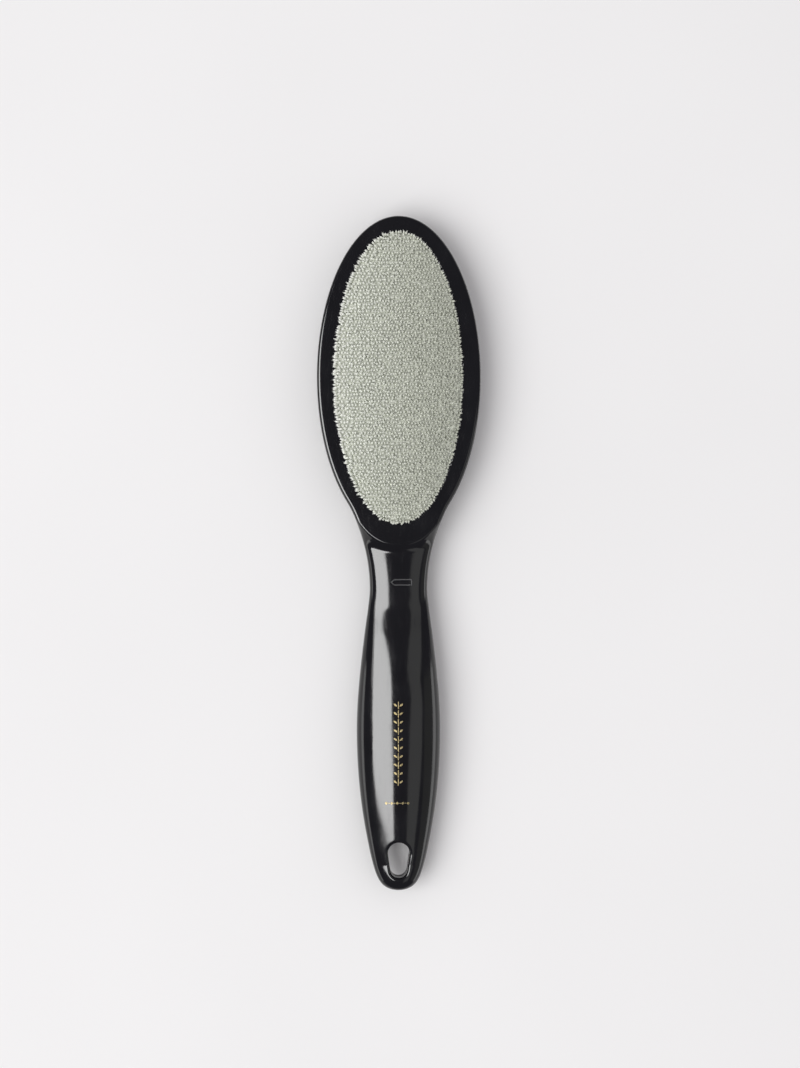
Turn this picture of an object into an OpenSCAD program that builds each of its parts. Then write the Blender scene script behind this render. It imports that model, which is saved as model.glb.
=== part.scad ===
// Double-sided clothes brush. Two moulded half shells meet at the middle height, and each
// carries a velour pad on foam in a shallow recess. The handle ends in a hanging hole.
// Millimetres, +Z up. The brush lies on its rear pad, and +Y runs along the handle to the head.

/* [Overall] */
// Length from the handle's tip to the far end of the head
total_l = 260; // [256:1:266]
// Thickness from one pile face to the other
total_t = 18; // [17.5:0.5:19]

/* [Head] */
// Width of the oval head
head_w = 63; // [61:0.5:65]
// Length of the oval that the head's outline follows
head_l = 124; // [122:1:126]
// Thickness of the plastic head, rim to rim
head_t = 13; // [12.5:0.5:13.5]
// Radius along the edge of the head's flat rim
edge_r = 1.2; // [0.8:0.2:2]
// Distance from the handle's tip to the lower end of the head's flat face
face_end = 132.8; // [132:0.2:134]

/* [Handle] */
// Width of the neck
neck_w = 22.2; // [21:0.2:24]
// Thickness of the neck
neck_t = 10; // [9.6:0.2:11]
// Greatest width of the handle
belly_w = 32.3; // [30:0.1:34]
// Greatest thickness of the handle
belly_t = 18; // [16:0.5:18]

/* [Pad] */
// Width of the oval pad
pad_w = 48.4; // [46:0.2:50]
// Length of the oval pad
pad_l = 111.8; // [108:0.2:112]
// Height of the pile above the rim
pile_h = 2.5; // [2.2:0.1:3]
// Thickness of the pile's woven ground
ground_t = 0.5; // [0.4:0.1:0.8]
// Thickness of the foam layer
foam_t = 1.2; // [1:0.1:1.5]
// Thickness of the double-sided adhesive film
film_t = 0.2; // [0.1:0.05:0.3]

/* [Hanging hole] */
// Radius of the hole's wide end
hole_r = 4.2; // [3.8:0.1:4.4]
// Radius of the hole's narrow end
hole_tip_r = 3.3; // [3:0.1:3.6]
// Distance between the centres of the two ends
hole_span = 6.2; // [5.6:0.1:6.6]
// Width of the bevel round the hole's rim
hole_bevel = 1.1; // [0.6:0.1:1.3]

/* [Shell] */
// Wall thickness of the half shells
wall = 2; // [1.8:0.1:2.2]
// Thickness of the stiffening ribs
rib_t = 1.2; // [1:0.1:1.5]
// Radius of a locating pin
pin_r = 1.5; // [1.2:0.1:1.8]
// Length of a locating pin beyond the joint face
pin_l = 2.8; // [2:0.1:3]
// Gap round a pin in its socket
pin_gap = 0.05; // [0.04:0.01:0.1]

/* [Hidden] */

mid_z = total_t / 2;
tip_y = -total_l / 2;
head_y = total_l / 2 - head_l / 2;
rim_z = head_t / 2;
face_y = tip_y + face_end;
pad_y = head_y - 0.3;
pad_gap = 0.3;
recess_z = rim_z - ground_t - foam_t - film_t;
recess_floor = 1.8;
head_ceiling = recess_z - recess_floor;
rib_gap = 0.3;
boss_r = pin_r + 1.6;
hole_y = tip_y + 14.6;
cavity_end = hole_y + hole_r + 3;
// The arrow that shows which way the pile cleans, cut in the neck
mark_y = -11;
mark_l = 8.4;
mark_w = 2;
mark_line = 0.45;
mark_depth = 0.5;
pins = [[0, 116], [-18, 68], [18, 68], [0, 22], [0, -32], [0, -98]];
head_ribs = [28, 48, 68, 88, 108];
handle_ribs = [-8, -32, -56, -80, -98];
plastic = "#151517";
velour = "#adb0a3";

// How the outline leaves the head's oval: where, and with what slope
leave_angle = -50.7;
leave = [head_w / 2 * cos(leave_angle), head_y + head_l / 2 * sin(leave_angle)];
leave_slope = 0.62;
neck_y = -13.5;
belly_y = -68;

// Places along the handle, from the head to where the tip's round end begins:
// [y, half width, its slope, half thickness, its slope, fullness of the section]
// A fullness of 2 is an ellipse, and more is boxier.
stations = [
    [leave[1], leave[0] - 0.6, leave_slope, neck_t / 2, 0, 3.2],
    [8, 14.7, 0.34, neck_t / 2, 0, 3],
    [neck_y, neck_w / 2, 0, neck_t / 2, 0, 2.6],
    [-22, 11.9, -0.13, neck_t / 2 + 0.2, -0.12, 2.4],
    [-33, 13.4, -0.12, 6.8, -0.13, 2.25],
    [belly_y, belly_w / 2, 0, belly_t / 2, 0, 2],
    [-110, 12.1, 0.2, 6.6, 0.09, 2.1],
    [-120, 9.85, 0.28, 5.4, 0.15, 2.2]
];

// A smooth curve from value a with slope ma to value b with slope mb, over a run, at t from 0 to 1
function smooth(a, ma, b, mb, run, t) =
    (2 * t ^ 3 - 3 * t ^ 2 + 1) * a + (t ^ 3 - 2 * t ^ 2 + t) * run * ma
    + (3 * t ^ 2 - 2 * t ^ 3) * b + (t ^ 3 - t ^ 2) * run * mb;

// A cubic curve between p and s, pulled by q and r
function bezier(p, q, r, s, t) =
    (1 - t) ^ 3 * p + 3 * (1 - t) ^ 2 * t * q + 3 * (1 - t) * t ^ 2 * r + t ^ 3 * s;

// [y, half width, half thickness, fullness] between two stations
function between(a, b, t) = let (run = b[0] - a[0]) [
    a[0] + run * t,
    smooth(a[1], a[2], b[1], b[2], run, t),
    smooth(a[3], a[4], b[3], b[4], run, t),
    a[5] + (b[5] - a[5]) * t
];

// The same along the handle, with a number of steps for each stretch
function handle_path(steps) = [
    for (i = [0 : len(stations) - 2])
        for (k = [0 : steps - 1]) between(stations[i], stations[i + 1], k / steps)
];

// The round end of the handle. Its thickness falls to nothing on an arc.
tip_reach = [0, 0.2, 0.4, 0.58, 0.74, 0.87, 0.95, 0.99];
function tip_path() = let (e = stations[len(stations) - 1]) [
    for (t = tip_reach)
        let (p = bezier([e[1], e[0]], [e[1] - 1.7, e[0] - 6], [6.6, tip_y], [0, tip_y], t))
            [p[1], p[0], e[3] * sqrt(1 - t ^ 2.6), e[5]]
];

// Upper half of a cross-section, moved inwards by an inset
function section(s, inset, steps) = [
    for (k = [0 : steps])
        let (a = 180 * k / steps, c = cos(a), power = 2 / s[3])
            [-(s[1] - inset) * sign(c) * abs(c) ^ power, s[0], (s[2] - inset) * sin(a) ^ power]
];

// The head's outline, moved inwards by an inset: an oval that ends in a rounder lower end
function head_side(d) = let (
    a = head_w / 2 - d,
    b = head_l / 2 - d,
    p = [a * cos(leave_angle), head_y + b * sin(leave_angle)],
    q = p - 9.2 * [leave_slope, 1],
    r = [10 - d / 2, face_y + d],
    s = [0, face_y + d]
) concat(
    [for (k = [0 : 22]) let (t = 90 - (90 - leave_angle) * k / 22) [a * cos(t), head_y + b * sin(t)]],
    [for (k = [1 : 7]) bezier(p, q, r, s, k / 7)]
);
function head_outline(d) = let (right = head_side(d)) concat(
    right,
    [for (k = [len(right) - 2 : -1 : 1]) [-right[k][0], right[k][1]]]
);
function at_height(outline, z) = [for (p = outline) [p[0], p[1], z]];

function oval(w, l) = [for (k = [0 : 71]) [w / 2 * cos(5 * k), l / 2 * sin(5 * k)]];

// A solid through a row of rings that each have the same number of points. A ring runs
// clockwise as seen from the side that the row leads to.
module loft(rings) {
    n = len(rings[0]);
    last = (len(rings) - 1) * n;
    polyhedron(
        points = [for (ring = rings) each ring],
        faces = concat(
            [for (i = [0 : len(rings) - 2], j = [0 : n - 1], half = [0, 1])
                let (a = i * n + j, b = i * n + (j + 1) % n)
                    half == 0 ? [a, b, b + n] : [a, b + n, a + n]],
            [[for (j = [n - 1 : -1 : 0]) j]],
            [[for (j = [0 : n - 1]) last + j]]
        )
    );
}

module handle_half() {
    loft([for (s = concat(handle_path(4), tip_path())) section(s, 0, 14)]);
}

module head_half() {
    loft(concat(
        [at_height(head_outline(0), 0)],
        [for (a = [0 : 30 : 90])
            at_height(head_outline(edge_r * (1 - cos(a))), rim_z - edge_r + edge_r * sin(a))]
    ));
}

module handle_cavity() {
    path = [for (s = handle_path(2)) if (s[0] > cavity_end) s];
    loft([for (s = path) section(s, wall, 8)]);
}

module head_cavity() {
    linear_extrude(head_ceiling) polygon(head_outline(wall));
}

// The hanging hole's shape: two round ends of different radius, joined by sides that meet each
// end at a slight angle
module slot(h) {
    turn = 8;
    lean = asin((hole_r - hole_tip_r) / hole_span);
    wide = hole_r * [cos(turn - lean), sin(turn - lean)];
    narrow = hole_tip_r * [cos(turn + lean), -sin(turn + lean)] - [0, hole_span];
    translate([0, hole_y, 0]) {
        cylinder(r = hole_r, h = h, $fn = 48);
        translate([0, -hole_span, 0]) cylinder(r = hole_tip_r, h = h, $fn = 48);
        linear_extrude(h) polygon([wide, narrow, [-narrow[0], narrow[1]], [-wide[0], wide[1]]]);
    }
}

// The bevel round the rim of the hanging hole, cut from above
module rim_bevel() {
    top = 8;
    bottom = 3.9;
    rise = top - bottom;
    translate([0, hole_y, bottom]) hull() {
        cylinder(r1 = hole_r - 0.1, r2 = hole_r + hole_bevel * rise / 1.6, h = rise, $fn = 32);
        translate([0, -hole_span, 0])
            cylinder(r1 = hole_tip_r - 0.1, r2 = hole_tip_r + hole_bevel * rise / 1.6, h = rise, $fn = 32);
    }
}

module direction_mark() {
    nose = mark_w / 2 * 1.3;
    function arrow(d) = [
        [mark_l / 2 - d, mark_w / 2 - d],
        [-mark_l / 2 + nose, mark_w / 2 - d],
        [-mark_l / 2 + 1.6 * d, 0],
        [-mark_l / 2 + nose, -mark_w / 2 + d],
        [mark_l / 2 - d, -mark_w / 2 + d]
    ];
    translate([0, mark_y, neck_t / 2 - mark_depth]) linear_extrude(2) difference() {
        polygon(arrow(0));
        polygon(arrow(mark_line));
    }
}

module ribs() {
    for (y = head_ribs) translate([-head_w / 2, y - rib_t / 2, rib_gap]) cube([head_w, rib_t, rim_z]);
    for (y = handle_ribs) translate([-belly_w / 2, y - rib_t / 2, rib_gap]) cube([belly_w, rib_t, belly_t / 2]);
    translate([-rib_t / 2, face_y + 6, rib_gap]) cube([rib_t, head_l - 12, rim_z]);
}

module at_pins() {
    for (p = pins) translate([p[0], p[1], 0]) children();
}

// One half of the body above the joint face, hollow, with its ribs and the bosses for the pins
module half_shell() {
    difference() {
        union() {
            handle_half();
            head_half();
        }
        difference() {
            union() {
                head_cavity();
                handle_cavity();
            }
            ribs();
            at_pins() cylinder(r = boss_r, h = rim_z + 2, $fn = 48);
        }
        translate([0, pad_y, recess_z])
            linear_extrude(rim_z) polygon(oval(pad_w + 2 * pad_gap, pad_l + 2 * pad_gap));
        translate([0, 0, -1]) slot(belly_t);
        rim_bevel();
        direction_mark();
    }
}

module pad_layer(shrink, bottom, h) {
    translate([0, pad_y, bottom]) linear_extrude(h) polygon(oval(pad_w - shrink, pad_l - shrink));
}

// Puts a piece of the front half in place, and its mirror image for the rear half
module front() {
    translate([0, 0, mid_z]) children();
}
module rear() {
    translate([0, 0, mid_z]) mirror([0, 0, 1]) children();
}

module front_shell() {
    color(plastic) front() difference() {
        half_shell();
        at_pins() translate([0, 0, -1]) cylinder(r = pin_r + pin_gap, h = pin_l + 1.3, $fn = 48);
    }
}

module rear_shell() {
    color(plastic) rear() {
        half_shell();
        at_pins() translate([0, 0, -pin_l]) cylinder(r = pin_r, h = pin_l + 1, $fn = 48);
    }
}

module velour_pad() {
    pad_layer(0, rim_z - ground_t, ground_t + pile_h);
}

module foam_layer() {
    pad_layer(0.6, recess_z + film_t, foam_t);
}

module adhesive_film() {
    pad_layer(1, recess_z, film_t);
}

module front_velour_pad() {
    color(velour) front() velour_pad();
}
module rear_velour_pad() {
    color(velour) rear() velour_pad();
}
module front_foam_layer() {
    color("#d8d6cc") front() foam_layer();
}
module rear_foam_layer() {
    color("#d8d6cc") rear() foam_layer();
}
module front_adhesive_film() {
    color("#e9e4cf") front() adhesive_film();
}
module rear_adhesive_film() {
    color("#e9e4cf") rear() adhesive_film();
}

front_shell();
rear_shell();
front_velour_pad();
rear_velour_pad();
front_foam_layer();
rear_foam_layer();
front_adhesive_film();
rear_adhesive_film();
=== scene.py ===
"""Double-sided clothes brush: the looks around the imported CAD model.

Lengths are in millimetres until a mesh is made, and heights are measured from the joint face
between the two half shells, outwards. The rear half is the front half's mirror image.
"""

import itertools
import math

import bmesh
import bpy
import numpy as np
from mathutils import Matrix, Vector, geometry
from mathutils.kdtree import KDTree

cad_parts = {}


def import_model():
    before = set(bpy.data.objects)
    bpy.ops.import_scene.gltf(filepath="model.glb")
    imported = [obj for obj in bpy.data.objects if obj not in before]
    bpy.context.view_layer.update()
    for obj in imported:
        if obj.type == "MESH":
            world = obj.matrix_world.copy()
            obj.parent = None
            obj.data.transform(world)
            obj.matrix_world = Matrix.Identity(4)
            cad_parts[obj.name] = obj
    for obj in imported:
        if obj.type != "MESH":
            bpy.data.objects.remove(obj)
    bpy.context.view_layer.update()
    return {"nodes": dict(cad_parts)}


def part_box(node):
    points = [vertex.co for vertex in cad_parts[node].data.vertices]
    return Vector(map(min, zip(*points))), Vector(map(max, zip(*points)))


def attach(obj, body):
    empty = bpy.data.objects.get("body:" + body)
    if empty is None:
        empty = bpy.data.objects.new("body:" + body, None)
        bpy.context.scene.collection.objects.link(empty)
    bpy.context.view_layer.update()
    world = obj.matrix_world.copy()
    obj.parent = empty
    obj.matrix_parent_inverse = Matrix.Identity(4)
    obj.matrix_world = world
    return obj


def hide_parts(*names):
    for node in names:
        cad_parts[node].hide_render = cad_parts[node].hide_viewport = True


MM = 0.001
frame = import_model()


def node_box(name):
    """A node's lowest and highest corners, in millimetres."""
    low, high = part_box(name)
    return np.array(low) / MM, np.array(high) / MM


SHELL_LOW, SHELL_HIGH = node_box("front_shell")
PAD_LOW, PAD_HIGH = node_box("front_velour_pad")
FOAM_LOW, FOAM_HIGH = node_box("front_foam_layer")
FILM_LOW = node_box("front_adhesive_film")[0]

# The joint face's own height, the two ends of the brush, the head's oval and the handle's belly
MID_Z = SHELL_LOW[2]
TIP_Y, TOP_Y = SHELL_LOW[1], SHELL_HIGH[1]
HEAD_A, HEAD_B = (SHELL_HIGH[0] - SHELL_LOW[0]) / 2, 62.0
HEAD_Y = TOP_Y - HEAD_B
BELLY_H = SHELL_HIGH[2] - MID_Z
WALL = 2.0

# The pad's oval, from the adhesive film at the recess's floor to the tips of the pile
PAD_Y = (PAD_LOW[1] + PAD_HIGH[1]) / 2
PAD_A, PAD_B = (PAD_HIGH[0] - PAD_LOW[0]) / 2, (PAD_HIGH[1] - PAD_LOW[1]) / 2
GROUND_T = 0.5
RECESS_Z = FILM_LOW[2] - MID_Z
RIM_Z = PAD_LOW[2] + GROUND_T - MID_Z
PILE_TOP = PAD_HIGH[2] - MID_Z

# The recess: its oval, a little wider than the pad, and the radius along its edge
PAD_GAP = 0.3
RECESS_A, RECESS_B = PAD_A + PAD_GAP, PAD_B + PAD_GAP
RECESS_EDGE = 0.15

# How the outline leaves the head's oval, and the handle's stations:
# y, half width, its slope, half thickness, its slope, fullness of the section
LEAVE = math.radians(-50.7)
LEAVE_X, LEAVE_Y = HEAD_A * math.cos(LEAVE), HEAD_Y + HEAD_B * math.sin(LEAVE)
NECK_H = 5.0
STATIONS = (
    (LEAVE_Y, LEAVE_X, 0.62, NECK_H, 0, 3.2),
    (8, 14.7, 0.34, NECK_H, 0, 3.0),
    (-13.5, 11.1, 0, NECK_H, 0, 2.6),
    (-22, 11.9, -0.13, NECK_H + 0.2, -0.12, 2.4),
    (-33, 13.4, -0.12, 6.8, -0.13, 2.25),
    (-68, 16.15, 0, BELLY_H, 0, 2.0),
    (-110, 12.1, 0.2, 6.6, 0.09, 2.1),
    (-120, 9.85, 0.28, 5.4, 0.15, 2.2),
)

# The curve round the handle's tip: how it sets off from the last station, its flat end's half
# width, and how late its thickness runs out
TIP_IN, TIP_ON, TIP_FLAT, TIP_FADE = 1.7, 6.0, 6.6, 2.6

# Half thickness at the outline, the least that a rounded edge leaves of it, and the radius along
# the edge of the head's flat face
EDGE_H, SKIRT_H = 0.5, 0.35
EDGE_R = 1.2

# The groove along the seam between the halves, and the bevel at the hanging hole's seam
SEAM_H, SEAM_IN = 0.22, 0.2
HOLE_SEAM_H, HOLE_SEAM_IN = 0.25, 0.15

# The hanging hole: centre and radius of its wide end, radius of its narrow end, the distance
# between them, and the radius along its rim
HOLE_Y = TIP_Y + 14.6
HOLE_R, HOLE_TIP_R, HOLE_SPAN, HOLE_RIM_R = 4.2, 3.3, 6.2, 1.25

# The lower end of the head's flat face: an arc that goes on as a straight line on each side, and
# the rounded brow where the face starts to fall to the neck
CAP_R, CAP_Y, CAP_TURN = 18.0, 20.8, math.radians(48.1)
CAP_STRAIGHT = 10.0
BROW_R, BROW_TURN = 1.6, math.radians(35)

# Height of a staggered grid's rows, as a share of its step
STAGGER = 0.87


# --- Outline and heights ---


def hermite(a, ma, b, mb, run, t):
    """The cubic from a to b over a run, with the slopes ma and mb, at a share t of the run."""
    return (
        (2 * t**3 - 3 * t**2 + 1) * a
        + (t**3 - 2 * t**2 + t) * run * ma
        + (3 * t**2 - 2 * t**3) * b
        + (t**3 - t**2) * run * mb
    )


def handle_table():
    """Rows of y, half width, half thickness and fullness, from the head to the handle's tip."""
    steps = 400
    rows = []
    for a, b in zip(STATIONS, STATIONS[1:]):
        run = b[0] - a[0]
        for t in np.arange(steps) / steps:
            width, thick = (hermite(*a[k : k + 2], *b[k : k + 2], run, t) for k in (1, 3))
            rows.append((a[0] + run * t, width, thick, a[5] + (b[5] - a[5]) * t))
    last = STATIONS[-1]
    onward = (last[1] - TIP_IN, last[0] - TIP_ON)
    pull = ((last[1], last[0]), onward, (TIP_FLAT, TIP_Y), (0, TIP_Y))
    for t in 1 - (1 - np.arange(steps + 1) / steps) ** 2:
        x, y = (
            (1 - t) ** 3 * pull[0][k]
            + 3 * (1 - t) ** 2 * t * pull[1][k]
            + 3 * (1 - t) * t**2 * pull[2][k]
            + t**3 * pull[3][k]
            for k in (0, 1)
        )
        rows.append((y, x, last[3] * math.sqrt(max(0, 1 - t**TIP_FADE)), last[5]))
    return np.array(rows)


TABLE = handle_table()


def along(y, column):
    """A column of the handle's table at y."""
    return np.interp(-y, -TABLE[:, 0], TABLE[:, column])


def half_width(y):
    """Half the width of the outline at y."""
    oval = HEAD_A * np.sqrt(np.clip(1 - ((y - HEAD_Y) / HEAD_B) ** 2, 0, None))
    return np.where(y > LEAVE_Y, oval, along(y, 1))


def resample(points, step, closed=True):
    """Points at even distances along a line through the given points."""
    line = np.vstack([points, points[:1]]) if closed else points
    lengths = np.hypot(*np.diff(line, axis=0).T)
    at = np.concatenate([[0], np.cumsum(lengths)])
    count = max(8, round(at[-1] / step))
    places = np.linspace(0, at[-1], count + 1)[: count if closed else None]
    return np.column_stack([np.interp(places, at, line[:, k]) for k in (0, 1)])


def outline(step):
    """The brush's outline, anticlockwise from the far end of the head."""
    turn = np.linspace(math.pi / 2, LEAVE, 600, endpoint=False)
    oval = np.column_stack([HEAD_A * np.cos(turn), HEAD_Y + HEAD_B * np.sin(turn)])
    right = np.vstack([oval, TABLE[:, [1, 0]]])
    left = right[-2:0:-1] * (-1, 1)
    return resample(np.vstack([right, left])[::-1], step)


def inward(points):
    """Inward normals of a closed anticlockwise line."""
    along_line = np.roll(points, -1, axis=0) - np.roll(points, 1, axis=0)
    normals = np.column_stack([-along_line[:, 1], along_line[:, 0]])
    return normals / np.hypot(*normals.T)[:, None]


FINE = outline(0.1)
FINE_IN = inward(FINE)
FINE_TREE = KDTree(len(FINE))
for index, point in enumerate(FINE):
    FINE_TREE.insert((point[0], point[1], 0), index)
FINE_TREE.balance()


def edge_distance(x, y):
    """Distance from each point in to the outline."""
    nearest = np.array([FINE_TREE.find((a, b, 0))[1] for a, b in zip(x, y)])
    step = np.column_stack([x, y]) - FINE[nearest]
    return np.abs((step * FINE_IN[nearest]).sum(1))


def hole_distance(x, y):
    """Distance from the hanging hole's edge, below zero inside the hole."""
    px, py = np.abs(x), HOLE_Y - y
    lean = (HOLE_R - HOLE_TIP_R) / HOLE_SPAN
    rise = math.sqrt(1 - lean**2)
    side = -lean * px + rise * py
    return np.where(
        side < 0,
        np.hypot(px, py) - HOLE_R,
        np.where(
            side > rise * HOLE_SPAN,
            np.hypot(px, py - HOLE_SPAN) - HOLE_TIP_R,
            rise * px + lean * py - HOLE_R,
        ),
    )


def hole_loop(grow):
    """The hanging hole's edge, moved outwards, anticlockwise."""
    count = 96
    lean = math.asin((HOLE_R - HOLE_TIP_R) / HOLE_SPAN)
    upper = np.linspace(-lean, math.pi + lean, count)
    lower = np.linspace(math.pi + lean, 2 * math.pi - lean, count)
    wide, narrow = HOLE_R + grow, HOLE_TIP_R + grow
    wide_end = np.column_stack([wide * np.cos(upper), wide * np.sin(upper)])
    narrow_end = np.column_stack([narrow * np.cos(lower), narrow * np.sin(lower) - HOLE_SPAN])
    return resample(np.vstack([wide_end, narrow_end]) + (0, HOLE_Y), 0.24)


def cap_distance(x, y):
    """Distance in from the line where the head's flat face ends above the neck."""
    px, down = np.abs(x), CAP_Y - y
    turn = np.arctan2(px, down)
    arc = CAP_R - np.hypot(px, down)
    tx, ty = CAP_R * math.sin(CAP_TURN), CAP_Y - CAP_R * math.cos(CAP_TURN)
    line = -(px - tx) * math.sin(CAP_TURN) + (y - ty) * math.cos(CAP_TURN)
    return np.where((turn < CAP_TURN) & (down > 0), arc, line)


def cap_line(inset):
    """The same line, moved into the flat face."""
    turn = np.linspace(0, CAP_TURN, 60)
    radius = CAP_R - inset
    arc = np.column_stack([radius * np.sin(turn), CAP_Y - radius * np.cos(turn)])
    out = arc[-1] + CAP_STRAIGHT * np.array([math.cos(CAP_TURN), math.sin(CAP_TURN)])
    right = np.vstack([arc, out])
    return resample(np.vstack([right[:0:-1] * (-1, 1), right]), 0.4, closed=False)


def drop(distance, radius):
    """How far a rounded edge has fallen at a distance from the edge."""
    left = radius - np.clip(distance, 0, radius)
    return radius - np.sqrt(radius**2 - left**2)


def handle_height(x, y):
    """Height of the handle's surface above the joint face."""
    width, thick, full = along(y, 1), np.maximum(along(y, 2), EDGE_H), along(y, 3)
    across = np.clip(np.abs(x) / np.maximum(width, 1e-6), 0, 1)
    return EDGE_H + (thick - EDGE_H) * (1 - across**full) ** (1 / full)


def step_share(inset):
    """How much of the step from the neck up to the flat face is done, at a distance inside its
    edge: a rounded brow, then a longer hollow curve down to the neck."""
    brow, fall = BROW_R * math.sin(BROW_TURN), BROW_R * (1 - math.cos(BROW_TURN))
    step = RIM_Z - NECK_H
    hollow = 2 * (step - fall) / math.tan(BROW_TURN)
    left = np.clip(brow - inset, 0, brow)
    rounded = 1 - (BROW_R - np.sqrt(BROW_R**2 - left**2)) / step
    curved = (1 - fall / step) * np.clip(1 + inset / hollow, 0, 1) ** 2
    return np.where(inset > 0, rounded, curved)


def recess_share(x, y):
    """Distance from the pad's middle, as a share of the recess's oval."""
    return np.hypot(x / RECESS_A, (y - PAD_Y) / RECESS_B)


def height(x, y):
    """Height of the outer surface above the joint face."""
    face = RIM_Z - drop(edge_distance(x, y), EDGE_R)
    handle = np.where(y > LEAVE_Y, face, handle_height(x, y))
    top = handle + step_share(cap_distance(x, y)) * (face - handle)
    top = top - drop((recess_share(x, y) - 1) * RECESS_A, RECESS_EDGE)
    return np.maximum(top - drop(hole_distance(x, y), HOLE_RIM_R), SKIRT_H)


# --- Meshes ---


def add_object(name, data):
    """A new object in the scene's collection."""
    obj = bpy.data.objects.new(name, data)
    bpy.context.scene.collection.objects.link(obj)
    return obj


# Faces that meet at a greater angle than this are shaded with a crisp edge between them
SHARP = math.radians(35)


def make_object(name, points, faces, material=None, smooth=True, sharp=SHARP):
    """An object from points in millimetres above the joint face."""
    mesh = bpy.data.meshes.new(name)
    placed = np.array(points, float) * MM
    placed[:, 2] += MID_Z * MM
    mesh.from_pydata(placed.tolist(), [], [list(map(int, f)) for f in faces])
    mesh.validate()
    if smooth:
        mesh.shade_smooth()
        mesh.set_sharp_from_angle(angle=sharp)
    if material:
        mesh.materials.append(material)
    return add_object(name, mesh)


def boolean(obj, other, operation="DIFFERENCE"):
    """Cuts another object out of the first, or joins it on, and deletes the other."""
    mod = obj.modifiers.new("cut", "BOOLEAN")
    mod.object = other
    mod.operation = operation
    mod.solver = "MANIFOLD"
    mod.material_mode = "TRANSFER"
    if obj.data.materials and not other.data.materials:
        other.data.materials.append(obj.data.materials[0])
    graph = bpy.context.evaluated_depsgraph_get()
    graph.update()
    result = bpy.data.meshes.new_from_object(obj.evaluated_get(graph), depsgraph=graph)
    obj.modifiers.clear()
    old = obj.data
    obj.data = result
    bpy.data.meshes.remove(old)
    bpy.data.objects.remove(other)
    slots = np.zeros(len(result.polygons), np.int32)
    result.polygons.foreach_get("material_index", slots)
    result.polygons.foreach_set("material_index", np.maximum(slots, 0))
    result.name = obj.name
    return obj


def mirrored(obj, name):
    """A copy of a front piece, mirrored in the joint face, for the rear."""
    mesh = obj.data.copy()
    mesh.name = name
    flip = Matrix.Translation((0, 0, MID_Z * MM)) @ Matrix.Scale(-1, 4, (0, 0, 1))
    flip = flip @ Matrix.Translation((0, 0, -MID_Z * MM))
    mesh.transform(flip)
    mesh.flip_normals()
    return add_object(name, mesh)


def spaced(points, kept, gap):
    """The points that are at least a gap away from the kept ones and from each other."""
    grid = {}

    def key(p):
        return int(math.floor(p[0] / gap)), int(math.floor(p[1] / gap))

    for p in kept:
        grid.setdefault(key(p), []).append(p)
    chosen = []
    for p in points:
        kx, ky = key(p)
        close = any(
            (p[0] - q[0]) ** 2 + (p[1] - q[1]) ** 2 < gap * gap
            for dx in (-1, 0, 1)
            for dy in (-1, 0, 1)
            for q in grid.get((kx + dx, ky + dy), ())
        )
        if not close:
            chosen.append(p)
            grid.setdefault((kx, ky), []).append(p)
    return chosen


def within(points, loop):
    """Which points lie inside a closed line."""
    x, y = points[:, 0], points[:, 1]
    odd = np.zeros(len(points), bool)
    for a, b in zip(loop, np.roll(loop, -1, axis=0)):
        if a[1] == b[1]:
            continue
        crosses = (a[1] > y) != (b[1] > y)
        odd ^= crosses & (x < a[0] + (y - a[1]) * (b[0] - a[0]) / (b[1] - a[1]))
    return odd


def triangulate(loops, points):
    """Delaunay triangles inside the first closed loop and outside the others.

    Slivers between points on one straight edge are left out.
    """
    sliver = 1e-6
    places, edges = [], []
    for loop in loops:
        start = len(places)
        places.extend(map(tuple, loop))
        edges.extend((start + k, start + (k + 1) % len(loop)) for k in range(len(loop)))
    places.extend(map(tuple, points))
    found = geometry.delaunay_2d_cdt([Vector(p) for p in places], edges, [], 0, 1e-7)
    verts = np.array([places[old[0]] for old in found[3]])
    faces = np.array(found[2])
    middle = verts[faces].mean(1)
    kept = within(middle, np.array(loops[0]))
    for hole in loops[1:]:
        kept &= ~within(middle, np.array(hole))
    first = verts[faces[:, 1]] - verts[faces[:, 0]]
    second = verts[faces[:, 2]] - verts[faces[:, 0]]
    twice_area = first[:, 0] * second[:, 1] - first[:, 1] * second[:, 0]
    kept &= np.abs(twice_area) > sliver
    faces, twice_area = faces[kept], twice_area[kept]
    turned = twice_area < 0
    faces[turned] = faces[turned][:, ::-1]
    return verts, faces


def caps(tris, count):
    """Faces of an upper sheet, and of a lower one whose points follow it in the same order."""
    return [tuple(f) for f in tris] + [(f[2] + count, f[1] + count, f[0] + count) for f in tris]


def walls(tris, count):
    """Upright faces that close the edge between those two sheets."""
    edges = dict.fromkeys((f[k], f[(k + 1) % 3]) for f in tris.tolist() for k in range(3))
    return [(a, a + count, b + count, b) for a, b in edges if (b, a) not in edges]


def fill_points(step, inset):
    """A staggered grid inside the outline."""
    points = []
    for k, y in enumerate(np.arange(TIP_Y, TOP_Y, step * STAGGER)):
        width = half_width(np.array([y]))[0] - inset
        if width > 0:
            across = np.arange(-width + (k % 2) * step / 2, width, step)
            points.extend((x, y) for x in across)
    return points


def oval_line(a, b, count):
    """An oval about the pad's middle, anticlockwise."""
    turn = np.linspace(0, 2 * math.pi, count, endpoint=False)
    return np.column_stack([a * np.cos(turn), PAD_Y + b * np.sin(turn)])


# How far each row of points stands from the edge that it follows
HOLE_ROWS = (0.03, 0.1, 0.2, 0.33, 0.48, 0.66, 0.86, 1.08, 1.32, 1.62, 2.0, 2.5)
RECESS_ROWS = (0.05, 0.15, 0.6)
BORDER_ROWS = (0.04, 0.12, 0.24, 0.4, 0.58, 0.79, 1.03, 1.3, 1.6, 1.95, 2.4, 2.95, 3.6, 4.35, 5.2)
CAP_ROWS = np.arange(2.2, -5.4, -0.22)


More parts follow.
